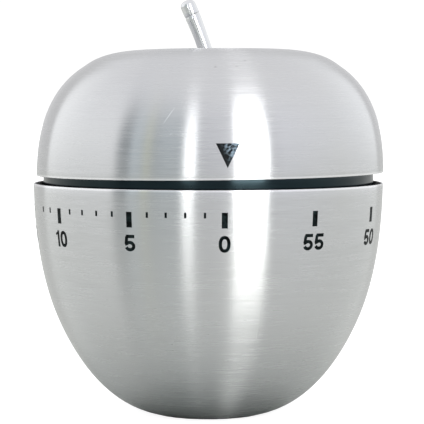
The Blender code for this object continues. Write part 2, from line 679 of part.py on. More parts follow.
def main_arbor(axis):
    """The main arbor and the small pieces fixed on it."""
    seat_low, seat_high = BOTTOM_PLATE_Z[1] + GAP, TOP_PLATE_Z[0] - GAP
    low = BOTTOM_PLATE_Z[0] - 0.5
    outline = [(0, low), (MAIN_ARBOR_RADIUS, low), (MAIN_ARBOR_RADIUS, seat_low)]
    outline += [(MAIN_ARBOR_BODY_RADIUS, seat_low), (MAIN_ARBOR_BODY_RADIUS, seat_high)]
    outline += [(MAIN_ARBOR_RADIUS, seat_high), (MAIN_ARBOR_RADIUS, MAIN_ARBOR_TOP_Z), (0, MAIN_ARBOR_TOP_Z)]
    turned("main_arbor", outline, "plate_steel", ROUND_SIDES, axis)
    bore = MAIN_ARBOR_RADIUS + GAP
    bush = ring(bore, HUB_BORE - GAP, HUB_BOTTOM_Z + 1, MAIN_ARBOR_TOP_Z - 0.1)
    turned("hub_bush", bush, "brass", ROUND_SIDES, axis)
    washer = ring(bore, HUB_RADIUS, DECK_Z[1] + GAP, DECK_Z[1] + 0.9)
    turned("thrust_washer", washer, "brass", ROUND_SIDES, axis)
    place = polar(STOP_CIRCLE, STOP_BEARING - STOP_HALF_ANGLE)
    pin = rod(STOP_PIN_RADIUS, DECK_Z[1] + 2, WEB_Z[0] - GAP)
    turned("dial_stop_pin", pin, "plate_steel", 12, axis, place)


def strike_cam(axis):
    """A snail-shaped cam whose drop lets the hammer fall at zero."""
    steps = 24
    outline = []
    for step in range(steps + 1):
        share = step / steps
        outline.append(polar(STRIKE_CAM_RADIUS - STRIKE_CAM_DROP * (1 - share) ** 3, 150 + 352 * share))
    bore = circle(MAIN_ARBOR_BODY_RADIUS + GAP, 16)
    stamped("strike_cam", outline, [bore], STRIKE_CAM_Z, "plate_steel", axis)


def great_wheel(axis):
    """The wheel that drives the train, and the ratchet that lets the dial be wound against it."""
    bore = MAIN_ARBOR_BODY_RADIUS + GAP
    outline = wheel_outline(WHEEL_TEETH, GREAT_MODULE, SECOND_ANGLE)
    spoked_wheel("great_wheel", outline, 9.6, 7.0, bore, GREAT_WHEEL_Z, axis)
    ratchet = saw_outline(16, 4.6, 3.8, 200, 3)
    stamped("ratchet_wheel", ratchet, [circle(bore, 16)], RATCHET_Z, "plate_steel", axis)
    pin = rod(0.5, GREAT_WHEEL_Z[1] + GAP, RATCHET_Z[1] + 0.2)
    turned("click_pin", pin, "brass", 10, axis, CLICK_PLACE)
    blade = [(5.9, 5.2), (6.2, 5.0), (8.9, 1.0), (8.9, 0.4), (8.6, 0.4), (8.55, 0.9)]
    stamped("click_spring", blade, [], RATCHET_Z, "spring_steel", axis)


def click(axis):
    """The pawl: a lever on its pin, whose nose rests just clear of the ratchet."""
    nose = (4.95 - CLICK_PLACE[0], 1.1 - CLICK_PLACE[1])
    outline = [nose, (nose[0] + 0.5, nose[1] + 0.5), (1.2, 0.6), (1.2, -0.6), (0.5, -1.2), (-0.5, -1.2)]
    outline += [(-1.1, -0.6), (-1.1, 0.6), (nose[0] - 0.05, nose[1] - 0.9)]
    stamped("click", outline, [circle(0.5 + GAP, 12)], RATCHET_Z, "plate_steel", axis)


# ---- train, escapement and hammer ----

def train(places):
    """The second and third wheels and the escape wheel, each on its own arbor."""
    names = ("second", "third", "escape")
    sources = ((0.0, 0.0), places["second"], places["third"])
    modules = (GREAT_MODULE, SECOND_MODULE, THIRD_MODULE)
    driven = (GREAT_WHEEL_Z, SECOND_WHEEL_Z, THIRD_WHEEL_Z)
    axes = {name: empty(f"{name}_axis", places[name]) for name in names}
    for name, source, module, height in zip(names, sources, modules, driven):
        facing = bearing(places[name], source)
        train_arbor(f"{name}_arbor", (height[0] - 0.4, height[1] + 0.4), facing, module, axes[name])
    bore = ARBOR_RADIUS + GAP
    for name, target, module, height in (
        ("second", "third", SECOND_MODULE, SECOND_WHEEL_Z), ("third", "escape", THIRD_MODULE, THIRD_WHEEL_Z),
    ):
        outline = wheel_outline(WHEEL_TEETH, module, bearing(places[name], places[target]))
        rim = WHEEL_TEETH * module / 2 - 1.9
        spoked_wheel(f"{name}_wheel", outline, rim, 2.6, bore, height, axes[name])
    teeth = saw_outline(ESCAPE_TEETH, ESCAPE_RADIUS, 3.9, PALLET_BEARING, 6)
    stamped("escape_wheel", teeth, [circle(bore, 12)], ESCAPE_WHEEL_Z, "brass", axes["escape"])


def verge(places):
    """The pallet lever: two steel pins straddle the escape wheel, and a balance steadies the swing."""
    place, escape = places["verge"], places["escape"]
    axis = empty("verge_axis", place)
    low, high = BOTTOM_PLATE_Z[0], TOP_PLATE_Z[1]
    seat_low, seat_high = BOTTOM_PLATE_Z[1] + GAP, TOP_PLATE_Z[0] - GAP
    outline = [(0, low), (PIVOT_RADIUS, low), (PIVOT_RADIUS, seat_low), (ARBOR_RADIUS, seat_low)]
    outline += [(ARBOR_RADIUS, seat_high), (PIVOT_RADIUS, seat_high), (PIVOT_RADIUS, high), (0, high)]
    turned("verge_arbor", outline, "plate_steel", 12, axis)
    reach = ESCAPE_RADIUS + PALLET_PIN_CLEARANCE + PALLET_PIN_RADIUS
    pins = []
    for side in (-1, 1):
        spot = polar(reach, PALLET_BEARING + side * PALLET_SPAN)
        pins.append((escape[0] + spot[0] - place[0], escape[1] + spot[1] - place[1]))
    for number, spot in enumerate(pins, 1):
        pin = rod(PALLET_PIN_RADIUS, ESCAPE_WHEEL_Z[0] - 0.3, PALLET_LEVER_Z[0] - GAP)
        turned(f"pallet_pin_{number}", pin, "plate_steel", 8, axis, spot)
    ends = [(bearing((0, 0), spot), math.hypot(*spot) + 0.6) for spot in pins]
    (left_angle, left), (right_angle, right) = ends
    outline = [polar(1.7, PALLET_BEARING + step) for step in (-60, 0, 60)]
    outline += arm_end(right_angle, right)
    outline += [polar(2.1, PALLET_BEARING + 180)]
    outline += arm_end(left_angle, left)
    stamped("pallet_lever", outline, [circle(ARBOR_RADIUS + GAP, 12)], PALLET_LEVER_Z, "brass", axis)
    holes = [circle(ARBOR_RADIUS + GAP, 12)]
    for start in (20, 200):
        rim = [polar(BALANCE_RADIUS - 1, start + step * 28) for step in range(6)]
        holes.append(rim + [polar(1.7, start + 140 - step * 70) for step in range(3)])
    stamped("balance", circle(BALANCE_RADIUS, 24), holes, BALANCE_Z, "brass", axis)


def arm_end(angle, length):
    """The four corners of an arm that leaves the middle at an angle."""
    spread = math.degrees(0.55 / length)
    near = 22
    tip = [polar(length, angle - spread), polar(length, angle + spread)]
    return [polar(1.8, angle - near), *tip, polar(1.8, angle + near)]


def hammer(places):
    """The hammer on its arbor: an arm below the plates with the head, and a trip finger beside the cam."""
    place = places["hammer"]
    axis = empty("hammer_axis", place)
    arbor = rod(HAMMER_ARBOR_RADIUS, HAMMER_ARM_Z[0] - 0.4, TOP_PLATE_Z[1])
    turned("hammer_arbor", arbor, "plate_steel", 12, axis)
    head = polar(HAMMER_HEAD_CIRCLE, HAMMER_HEAD_BEARING)
    head = (head[0] - place[0], head[1] - place[1])
    bar("hammer_arm", head, 1.2, 2.0, HAMMER_ARM_Z, axis, end_hole=0.6 + GAP)
    weight = [(0, 8.6), (1.3, 8.6), (1.7, 9.2), (1.7, 12.6), (1.1, 13.4), (0.6, 13.4), (0.6, 16.9), (0, 16.9)]
    turned("hammer_head", weight, "brass", 14, axis, head)
    tip = (TRIP_TIP[0] - place[0], TRIP_TIP[1] - place[1])
    bar("trip_lever", tip, 0.65, 2.0, STRIKE_CAM_Z, axis)


def bar(name, end, half_width, eye, height, axis, end_hole=None):
    """A flat lever from the axis to end, with an eye round the arbor and a rounded end."""
    direction = bearing((0, 0), end)
    outline = [polar(eye, direction + a) for a in (40, 80, 120, 160, 200, 240, 280, 320)]
    turned_end = [circle_point(end, half_width, direction + a) for a in (-90, -45, 0, 45, 90)]
    holes = [circle(HAMMER_ARBOR_RADIUS + GAP, 12)]
    if end_hole:
        turned_end = [circle_point(end, 1.9, direction + a) for a in (-130, -90, -45, 0, 45, 90, 130)]
        holes.append(circle(end_hole, 10, end))
    stamped(name, outline + turned_end, holes, height, "plate_steel", axis)


def circle_point(centre, radius, degrees):
    """A point at a bearing from a centre."""
    step = polar(radius, degrees)
    return (centre[0] + step[0], centre[1] + step[1])


def main():
    clear_scene()
    places = train_layout()
    lower_shell()
    lower_housing()
    foot_pad()
    base_screws()
    bell()
    bell_post()
    deck()
    plates(places)
    pillars()
    main_bushes()
    mainspring()
    hammer_spring(places["hammer"])
    stop_pin()
    dial_axis = empty("dial_axis")
    upper_shell(dial_axis)
    upper_liner(dial_axis)
    stem(dial_axis)
    main_arbor(dial_axis)
    strike_cam(dial_axis)
    great_wheel(dial_axis)
    click(empty("click_axis", CLICK_PLACE))
    train(places)
    verge(places)
    hammer(places)


main()
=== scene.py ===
"""Looks of the apple-shaped kitchen timer: brushed steel skins, black collar, bent stem, printed minutes.

Lengths below are millimetres in the row frame: +Z up, the middle of the foot at the origin, and the zero
of the minute scale towards -Y. They become metres when a mesh is made, and where a node tree takes them.
Bump distances are in metres.
"""

import math

import bmesh
import bpy
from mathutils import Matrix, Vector
from mathutils.geometry import delaunay_2d_cdt


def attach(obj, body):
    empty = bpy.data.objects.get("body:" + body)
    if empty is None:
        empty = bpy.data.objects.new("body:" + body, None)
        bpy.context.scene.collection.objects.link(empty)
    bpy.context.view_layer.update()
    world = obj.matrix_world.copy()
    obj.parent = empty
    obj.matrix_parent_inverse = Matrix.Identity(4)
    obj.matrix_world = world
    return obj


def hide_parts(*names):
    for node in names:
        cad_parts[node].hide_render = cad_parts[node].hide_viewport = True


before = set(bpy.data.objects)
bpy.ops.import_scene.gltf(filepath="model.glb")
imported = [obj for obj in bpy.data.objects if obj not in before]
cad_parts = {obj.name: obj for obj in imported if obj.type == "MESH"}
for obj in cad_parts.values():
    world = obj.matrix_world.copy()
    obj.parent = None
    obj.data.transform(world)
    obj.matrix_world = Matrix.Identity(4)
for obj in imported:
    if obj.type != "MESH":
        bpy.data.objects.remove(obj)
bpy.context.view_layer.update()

MM = 0.001
SKIN = 0.55
LIP = 0.24  # thickness of the skins at their trimmed edges
LIP_HEIGHT = 1.2  # how far the thin edge reaches from the rim
FULL_SKIN_HEIGHT = 1.6  # how far from the rim the skins have their full thickness
LOWER_RIM_Z = 40.9
DIAL_RIM_Z = 42.5
DIAL_CREST_Z = 64.45
DIMPLE_FLOOR_Z = 61.4
STEM_HOLE = 1.55
LOWER_CURVE = (
    ((31.0, LOWER_RIM_Z), (30.8, 29.85), (29.1, 22.55), (26.95, 17.35)),
    ((26.95, 17.35), (24.1, 10.55), (18.95, 2.3), (10.85, 0.2)),
)
DIAL_CURVE = (
    ((30.75, DIAL_RIM_Z), (30.75, 49.9), (29.1, 57.3), (22.75, 61.45)),
    ((22.75, 61.45), (21.6, 62.2), (19.4, DIAL_CREST_Z), (10.75, DIAL_CREST_Z)),
    ((10.75, DIAL_CREST_Z), (6.6, DIAL_CREST_Z), (5.6, DIMPLE_FLOOR_Z), (2.9, DIMPLE_FLOOR_Z)),
)
AROUND = 144  # sides of the large turned pieces
FINE_STEPS = 60  # steps in each curve of an outline that printed marks follow

# The dial's skin is pressed a little unevenly: it sits to the right, more so towards its crest, and its
# rim and its crest rise slightly to the right.
DIAL_SHIFT = 0.28
DIAL_SHEAR = 0.0165
RIM_SLOPE = 0.0096
RIM_REACH = 6.0  # the height over which the rim's slope fades out
CREST_SLOPE = 0.0055

# ---- camera ----
CAMERA_PLACE = (-29.7, -340.91, 55.55)
CAMERA_PITCH = 3.34  # degrees below the horizon
CAMERA_HEADING = -5.087  # degrees of turn about the vertical axis, from looking along +Y
LENS = 163.2
SENSOR = 36.0


# ---- mesh tools ----

def add_piece(name, bm, material, body, smooth_angle=40):
    """Turn a bmesh in millimetres into a piece of the object that rides on a CAD body."""
    bmesh.ops.recalc_face_normals(bm, faces=bm.faces)
    bmesh.ops.scale(bm, vec=(MM, MM, MM), verts=bm.verts)
    mesh = bpy.data.meshes.new(name)
    bm.to_mesh(mesh)
    bm.free()
    mesh.shade_smooth()
    mesh.set_sharp_from_angle(angle=math.radians(smooth_angle))
    mesh.materials.append(material)
    obj = bpy.data.objects.new(name, mesh)
    bpy.context.scene.collection.objects.link(obj)
    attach(obj, body)
    return obj


def lathe(outline):
    """An outline of (radius, height) points turned about the vertical axis.

    The outline closes on itself, or starts and ends on the axis.
    """
    bm = bmesh.new()
    rings = []
    angles = [math.tau * i / AROUND for i in range(AROUND)]
    for radius, height in outline:
        if radius == 0:
            rings.append([bm.verts.new((0, 0, height))])
            continue
        spots = [(radius * math.cos(a), radius * math.sin(a), height) for a in angles]
        rings.append([bm.verts.new(spot) for spot in spots])
    closed = len(rings[0]) > 1 and len(rings[-1]) > 1
    for i in range(len(rings) if closed else len(rings) - 1):
        near, far = rings[i], rings[(i + 1) % len(rings)]
        for j in range(AROUND):
            k = (j + 1) % AROUND
            if len(near) == 1:
                bm.faces.new((near[0], far[j], far[k]))
            elif len(far) == 1:
                bm.faces.new((near[j], near[k], far[0]))
            else:
                bm.faces.new((near[j], near[k], far[k], far[j]))
    return bm


def curve_points(curve, inset=0.0, steps=20):
    """Points along joined Bezier curves, moved to the left of the curve's direction by inset."""
    points = []
    for number, (p0, p1, p2, p3) in enumerate(curve):
        for step in range(steps + 1 if number == len(curve) - 1 else steps):
            t = step / steps
            u = 1 - t
            weights = (u**3, 3 * u * u * t, 3 * u * t * t, t**3)
            slopes = (-3 * u * u, 3 * u * u - 6 * u * t, 6 * u * t - 3 * t * t, 3 * t * t)
            r, z = (sum(w * p[axis] for w, p in zip(weights, (p0, p1, p2, p3))) for axis in (0, 1))
            dr, dz = (sum(w * p[axis] for w, p in zip(slopes, (p0, p1, p2, p3))) for axis in (0, 1))
            length = math.hypot(dr, dz)
            points.append((r - inset * dz / length, z + inset * dr / length))
    return points


def half_round(start, end, side, steps=6):
    """Points of a half circle between start and end, without those two.

    It bulges to the right of that direction where side is 1, and to the left where side is -1.
    """
    middle = ((start[0] + end[0]) / 2, (start[1] + end[1]) / 2)
    radius = math.dist(start, end) / 2
    first = math.atan2(start[1] - middle[1], start[0] - middle[0])
    return [
        (middle[0] + radius * math.cos(first + side * math.pi * i / steps),
         middle[1] + radius * math.sin(first + side * math.pi * i / steps))
        for i in range(1, steps)
    ]


def radius_at(profile, height):
    """The radius of a line of (radius, height) points at a height."""
    for (r0, z0), (r1, z1) in zip(profile, profile[1:]):
        if min(z0, z1) <= height <= max(z0, z1) and z0 != z1:
            return r0 + (r1 - r0) * (height - z0) / (z1 - z0)
    return profile[0][0]


# ---- node tools ----

class Tree:
    """A short way to write a node tree."""

    def __init__(self, tree):
        self.tree = tree

    def add(self, kind, inputs=(), **settings):
        node = self.tree.nodes.new("ShaderNode" + kind)
        for key, value in settings.items():
            setattr(node, key, value)
        for key, value in dict(inputs).items():
            self.put(node.inputs[key], value)
        return node

    def put(self, socket, value):
        """Link a socket to another node's output, or set it."""
        if isinstance(value, bpy.types.NodeSocket):
            self.tree.links.new(value, socket)
        else:
            socket.default_value = value

    def math(self, operation, a, b=0.0):
        return self.add("Math", {0: a, 1: b}, operation=operation).outputs[0]

    def noise(self, vector, scale, detail=2.0, roughness=0.5):
        inputs = {"Vector": vector, "Scale": scale, "Detail": detail, "Roughness": roughness}
        return self.add("TexNoise", inputs).outputs[0]

    def remap(self, value, low, high, to_low=0.0, to_high=1.0, smooth=False):
        inputs = {0: value, 1: low, 2: high, 3: to_low, 4: to_high}
        kind = "SMOOTHSTEP" if smooth else "LINEAR"
        return self.add("MapRange", inputs, interpolation_type=kind).outputs[0]

    def ramp(self, value, stops):
        """Read a colour off straight runs between stops of (position, grey or colour)."""
        node = self.add("ValToRGB", {0: value})
        ramp = node.color_ramp
        while len(ramp.elements) < len(stops):
            ramp.elements.new(1.0)
        for element, (position, colour) in zip(ramp.elements, stops):
            element.position = position
            element.color = (*colour, 1) if isinstance(colour, tuple) else (colour, colour, colour, 1)
        return node.outputs[0]

    def mix(self, factor, a, b):
        """Mix two colours."""
        node = self.add("Mix", data_type="RGBA", clamp_factor=True)
        self.put(node.inputs[0], factor)
        for socket, value in ((node.inputs[6], a), (node.inputs[7], b)):
            self.put(socket, (*value, 1) if isinstance(value, tuple) else value)
        return node.outputs[2]

    def scaled(self, vector, factors):
        return self.add("VectorMath", {0: vector, 1: factors}, operation="MULTIPLY").outputs[0]

    def bump(self, height, strength, distance):
        return self.add("Bump", {"Height": height, "Strength": strength, "Distance": distance}).outputs[0]


def new_material(name, **sockets):
    """A Principled material with constant sockets set; returns it with its tree and shader."""
    material = bpy.data.materials.new(name)
    material.use_nodes = True
    tree = Tree(material.node_tree)
    shader = material.node_tree.nodes["Principled BSDF"]
    for key, value in sockets.items():
        shader.inputs[key.replace("_", " ")].default_value = value
    return material, tree, shader


def object_point(tree):
    return tree.add("TexCoord").outputs["Object"]


def lathe_lines(tree, point, along, across):
    """Coordinates that stretch a noise round the axis, so that it looks like turned brushing.

    The third one grows all the way along the outline: the radius grows with height below the gap
    between the two skins, and shrinks with height above it.
    """
    parts = tree.add("SeparateXYZ", {0: point}).outputs
    flat = tree.add("VectorMath", {0: tree.scaled(point, (1, 1, 0))}, operation="LENGTH").outputs["Value"]
    side = tree.math("SIGN", tree.math("SUBTRACT", parts[2], DIAL_RIM_Z * MM))
    climb = tree.math("SUBTRACT", parts[2], tree.math("MULTIPLY", flat, side))
    climb = tree.math("MULTIPLY", climb, across)
    x, y = (tree.math("MULTIPLY", parts[i], along) for i in (0, 1))
    return tree.add("CombineXYZ", {0: x, 1: y, 2: climb}).outputs[0]


# ---- materials ----

# Scratches and specks on the dial: the ends as (degrees round from the scale's zero, height), then the
# half width, the tone and the strength.
MARK_CORE = 0.3  # share of a mark's half width that has its full strength
MARKS_ON_DIAL = (
    ((-20.2, 51.0), (-15.6, 54.7), 0.10, 0.95, 0.8),
    ((-17.0, 49.9), (-16.4, 50.1), 0.16, 1.0, 0.9),
    ((-26.8, 47.1), (-26.3, 47.3), 0.14, 1.0, 0.9),
    ((14.2, 48.5), (16.5, 47.0), 0.08, 0.95, 0.8),
    ((16.5, 47.7), (18.8, 46.0), 0.08, 0.95, 0.7),
    ((22.2, 46.9), (22.8, 47.0), 0.14, 1.0, 0.9),
    ((-2.2, 61.0), (-2.0, 61.0), 0.26, 0.4, 0.6),
    ((6.5, 61.1), (6.7, 61.1), 0.24, 0.4, 0.6),
    ((11.0, 62.0), (11.2, 62.0), 0.26, 0.4, 0.6),
)


def on_dial(degrees, height):
    """A point of the dial's outside, in metres."""
    radius = radius_at(curve_points(DIAL_CURVE), height)
    angle = math.radians(degrees)
    return Vector((radius * math.sin(angle), -radius * math.cos(angle), height)) * MM


def segment_distance(tree, point, start, end):
    """The distance from a point to the straight line between two places."""
    way = end - start
    from_start = tree.add("VectorMath", {0: point, 1: start}, operation="SUBTRACT").outputs[0]
    share = way / way.length_squared
    along = tree.add("VectorMath", {0: from_start, 1: share}, operation="DOT_PRODUCT").outputs[1]
    along = tree.remap(along, 0.0, 1.0)
    reach = tree.add("VectorMath", {0: way, "Scale": along}, operation="SCALE").outputs[0]
    return tree.add("VectorMath", {0: from_start, 1: reach}, operation="DISTANCE").outputs[1]


RIM_HIGHLIGHT_CORE = 0.25  # how far from a skin's rim the painted highlight on its edge is at its brightest
RIM_HIGHLIGHT_END = 0.45


def rim_glint(tree, point):
    """1 on the edges of the two skins next to the gap, where a highlight is painted, and 0 elsewhere."""
    x, _, z = tree.add("SeparateXYZ", {0: point}).outputs
    level = tree.math("SUBTRACT", z, tree.math("MULTIPLY", x, RIM_SLOPE))
    masks = []
    for value, rim in ((level, DIAL_RIM_Z), (z, LOWER_RIM_Z)):
        gap = tree.math("ABSOLUTE", tree.math("SUBTRACT", value, rim * MM))
        masks.append(tree.remap(gap, RIM_HIGHLIGHT_CORE * MM, RIM_HIGHLIGHT_END * MM, 1.0, 0.0))
    return tree.math("MAXIMUM", *masks)


def brushed_steel():
    """Steel brushed round its axis: fine horizontal lines that spread the light up and down."""
    material, tree, shader = new_material("brushed_steel_look", Metallic=1.0)
    shader.inputs["Anisotropic"].default_value = 1.0
    shader.inputs["Anisotropic Rotation"].default_value = 0.25
    tangent = tree.add("Tangent", direction_type="RADIAL", axis="Z").outputs[0]
    tree.put(shader.inputs["Tangent"], tangent)
    point = object_point(tree)
    fine = tree.noise(lathe_lines(tree, point, 180.0, 5200.0), 1.0, 2.0, 0.6)
    broad = tree.noise(lathe_lines(tree, point, 60.0, 900.0), 1.0, 2.0)
    cloud = tree.noise(point, 55.0, 2.0)
    grain = tree.math("ADD", tree.math("MULTIPLY", fine, 0.7), tree.math("MULTIPLY", broad, 0.3))
    roughness = tree.remap(grain, 0.3, 0.7, 0.22, 0.29)
    tree.put(shader.inputs["Roughness"], roughness)
    greys = ((0.32, (0.603, 0.608, 0.615)), (0.5, (0.642, 0.648, 0.655)), (0.68, (0.674, 0.679, 0.685)))
    lines = tree.ramp(grain, greys)
    mottled = tree.mix(tree.remap(cloud, 0.35, 0.65, 0.0, 0.35), lines, (0.655, 0.655, 0.645))
    cells = tree.add("TexVoronoi", {"Vector": point, "Scale": 210.0})
    chance = tree.add("SeparateColor", {0: cells.outputs["Color"]}).outputs[0]
    rare = tree.math("GREATER_THAN", chance, 0.975)
    speck = tree.math("MULTIPLY", tree.remap(cells.outputs["Distance"], 0.05, 0.075, 1.0, 0.0), rare)
    colour = tree.mix(tree.math("MULTIPLY", speck, 0.35), mottled, (0.25, 0.25, 0.26))
    # Painted highlight: the skins' edges beside the gap are painted near white, as if they caught light
    # from above.
    colour = tree.mix(tree.math("MULTIPLY", rim_glint(tree, point), 0.85), colour, (0.93, 0.93, 0.94))
    for start, end, width, tone, strength in MARKS_ON_DIAL:
        distance = segment_distance(tree, point, on_dial(*start), on_dial(*end))
        mark = tree.remap(distance, MARK_CORE * width * MM, width * MM, strength, 0.0)
        colour = tree.mix(mark, colour, (tone,) * 3)
    tree.put(shader.inputs["Base Color"], colour)
    tree.put(shader.inputs["Normal"], tree.bump(fine, 0.08, 0.00001))
    return material


GROOVE_WAY = (-0.41, 0.0, 0.912)  # nearly the stem's direction at its tip
GROOVE_PLACE = 65.6  # how far the upper edge of the stem's groove lies along that direction


def polished_steel():
    """Polished steel, with a painted dark line of shade along the upper edge of the stem's groove."""
    material, tree, shader = new_material("polished_steel_look", Metallic=1.0)
    point = object_point(tree)
    smudge = tree.noise(point, 420.0, 3.0, 0.6)
    tree.put(shader.inputs["Roughness"], tree.remap(smudge, 0.3, 0.7, 0.10, 0.2))
    steel_tone = tree.ramp(smudge, ((0.3, (0.70, 0.71, 0.72)), (0.7, (0.77, 0.78, 0.78))))
    # Painted shade: a dark line is drawn in the base colour along the upper edge of the stem's groove.
    along = tree.add("VectorMath", {0: point, 1: GROOVE_WAY}, operation="DOT_PRODUCT").outputs[1]
    gap = tree.math("ABSOLUTE", tree.math("SUBTRACT", along, GROOVE_PLACE * MM))
    painted_groove_shade = tree.remap(gap, 0.03 * MM, 0.09 * MM, 0.5, 0.0)
    tree.put(shader.inputs["Base Color"], tree.mix(painted_groove_shade, steel_tone, (0.2, 0.2, 0.21)))
    fine = tree.noise(tree.scaled(point, (1, 1, 0.1)), 1600.0, 1.0)
    tree.put(shader.inputs["Normal"], tree.bump(fine, 0.02, 0.00001))
    return material


def plate_steel():
    material, tree, shader = new_material("plate_steel_look", Metallic=1.0)
    point = object_point(tree)
    grain = tree.noise(tree.scaled(point, (1, 0.05, 1)), 4000.0, 2.0)
    stain = tree.noise(point, 120.0, 3.0)
    tree.put(shader.inputs["Roughness"], tree.remap(grain, 0.3, 0.7, 0.24, 0.4))
    colour = tree.mix(tree.remap(stain, 0.35, 0.7), (0.52, 0.53, 0.55), (0.44, 0.44, 0.45))
    tree.put(shader.inputs["Base Color"], colour)
    tree.put(shader.inputs["Normal"], tree.bump(grain, 0.15, 0.00001))
    return material


def spring_steel():
    material, tree, shader = new_material("spring_steel_look", Metallic=1.0)
    point = object_point(tree)
    blue = tree.noise(point, 160.0, 2.0)
    colours = ((0.3, (0.10, 0.14, 0.26)), (0.55, (0.20, 0.23, 0.30)), (0.75, (0.30, 0.26, 0.24)))
    tree.put(shader.inputs["Base Color"], tree.ramp(blue, colours))
    tree.put(shader.inputs["Roughness"], tree.remap(tree.noise(point, 3000.0), 0.3, 0.7, 0.2, 0.34))
    return material


def brass():
    material, tree, shader = new_material("brass_look", Metallic=1.0)
    point = object_point(tree)
    tarnish = tree.noise(point, 140.0, 4.0, 0.6)
    colour = tree.mix(tree.remap(tarnish, 0.4, 0.75), (0.76, 0.56, 0.25), (0.55, 0.38, 0.16))
    tree.put(shader.inputs["Base Color"], colour)
    grain = tree.noise(tree.scaled(point, (1, 0.06, 1)), 4500.0, 2.0)
    tree.put(shader.inputs["Roughness"], tree.remap(grain, 0.3, 0.7, 0.22, 0.38))
    tree.put(shader.inputs["Normal"], tree.bump(grain, 0.12, 0.00001))
    return material


def gloss_black():
    """Moulded black plastic with a faint ripple and dull patches."""
    material, tree, shader = new_material("gloss_black_look", Metallic=0.0, IOR=1.5)
    shader.inputs["Specular Tint"].default_value = (0.40, 0.62, 0.70, 1.0)
    point = object_point(tree)
    dust = tree.noise(point, 260.0, 3.0, 0.6)
    colour = tree.ramp(dust, ((0.35, (0.001, 0.004, 0.006)), (0.7, (0.004, 0.009, 0.012))))
    tree.put(shader.inputs["Base Color"], colour)
    tree.put(shader.inputs["Roughness"], tree.remap(dust, 0.35, 0.7, 0.10, 0.2))
    tree.put(shader.inputs["Normal"], tree.bump(tree.noise(point, 180.0, 1.0), 0.15, 0.00008))
    return material


def matte_black():
    material, tree, shader = new_material("matte_black_look", Metallic=0.0, Specular_IOR_Level=0.15)
    point = object_point(tree)
    spark = tree.noise(point, 2600.0, 2.0)
    colour = tree.ramp(spark, ((0.3, (0.003, 0.003, 0.003)), (0.7, (0.009, 0.009, 0.010))))
    tree.put(shader.inputs["Base Color"], colour)
    tree.put(shader.inputs["Roughness"], tree.remap(spark, 0.3, 0.7, 0.5, 0.68))
    tree.put(shader.inputs["Normal"], tree.bump(spark, 0.4, 0.00002))
    return material


def rubber():
    material, tree, shader = new_material("rubber_look", Metallic=0.0)
    point = object_point(tree)
    worn = tree.noise(point, 700.0, 4.0, 0.6)
    colour = tree.ramp(worn, ((0.35, (0.018, 0.018, 0.018)), (0.7, (0.045, 0.044, 0.042))))
    tree.put(shader.inputs["Base Color"], colour)
    tree.put(shader.inputs["Roughness"], tree.remap(worn, 0.3, 0.7, 0.75, 0.92))
    tree.put(shader.inputs["Normal"], tree.bump(worn, 0.3, 0.00003))
    return material


def printed_black():
    """Screen-printed ink, thin enough in places for a little of the steel's grey-green to come through."""
    material, tree, shader = new_material("printed_black", Metallic=0.0, Specular_IOR_Level=0.06)
    point = object_point(tree)
    thin = tree.noise(point, 900.0, 3.0, 0.6)
    colour = tree.ramp(thin, ((0.42, (0.001, 0.002, 0.002)), (0.75, (0.012, 0.022, 0.023))))
    tree.put(shader.inputs["Base Color"], colour)
    tree.put(shader.inputs["Roughness"], tree.remap(thin, 0.3, 0.7, 0.18, 0.32))
    return material


WEAR_SLANT = 0.4  # the wear grows with x plus this share of the height
WEAR_START = 18.4
WEAR_FULL = 20.0


def worn_black():
    """The pointer's ink: black, rubbed back to bluish metal in patches towards its upper right corner."""
    material, tree, shader = new_material("worn_black", Specular_IOR_Level=0.15)
    point = object_point(tree)
    patch = tree.noise(point, 2300.0, 3.0, 0.6)
    x, _, z = tree.add("SeparateXYZ", {0: point}).outputs
    corner = tree.math("ADD", x, tree.math("MULTIPLY", z, WEAR_SLANT))
    worn = tree.remap(corner, WEAR_START * MM, WEAR_FULL * MM, smooth=True)
    rub = tree.math("MULTIPLY", tree.remap(patch, 0.42, 0.6, smooth=True), worn)
    tree.put(shader.inputs["Base Color"], tree.mix(rub, (0.001, 0.002, 0.003), (0.21, 0.27, 0.32)))
    tree.put(shader.inputs["Metallic"], tree.math("MULTIPLY", rub, 0.9))
    tree.put(shader.inputs["Roughness"], tree.remap(rub, 0.0, 1.0, 0.3, 0.45))
    return material


# ---- pieces ----

def lower_skin(material):
    """The lower half of the casing, thinned along its trimmed rim."""
    outer, inner = curve_points(LOWER_CURVE), curve_points(LOWER_CURVE, -SKIN)
    bend = LIP / 2
    rim = outer[0][1] - bend
    edge = outer[0][0] - LIP
    outer = [(outer[0][0], rim)] + [p for p in outer if p[1] < rim]
    inner = [p for p in inner if p[1] < rim - FULL_SKIN_HEIGHT]
    inner = [(edge, rim), (edge, rim - LIP_HEIGHT)] + inner
    outline = outer + half_round(outer[-1], inner[-1], -1) + inner[::-1]
    outline += half_round(inner[0], outer[0], -1)
    piece = add_piece("lower_skin", lathe(outline), material, "base")
    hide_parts("lower_shell")


def housing_lip(material):
    """The black edge of the moulded housing that shows between the lower skin and the collar."""
    outline = [(30.72, 40.7), (30.66, 40.86), (30.5, 40.92), (29.86, 40.92), (29.72, 40.8), (29.72, 38.2)]
    outline += [(30.3, 38.2), (30.3, 39.3), (30.72, 39.5)]
    add_piece("housing_lip", lathe(outline), material, "base", 30)


def askew(bm):
    """Shift the dial's outside to the right, more towards the crest, and slope its rim and crest."""
    for vert in bm.verts:
        climb = vert.co.z - DIAL_RIM_Z
        rim = max(0.0, 1 - climb / RIM_REACH) ** 2
        crest = (climb / (DIAL_CREST_Z - DIAL_RIM_Z)) ** 4
        vert.co.z += vert.co.x * (RIM_SLOPE * rim + CREST_SLOPE * crest)
        vert.co.x += DIAL_SHIFT + DIAL_SHEAR * climb
    return bm


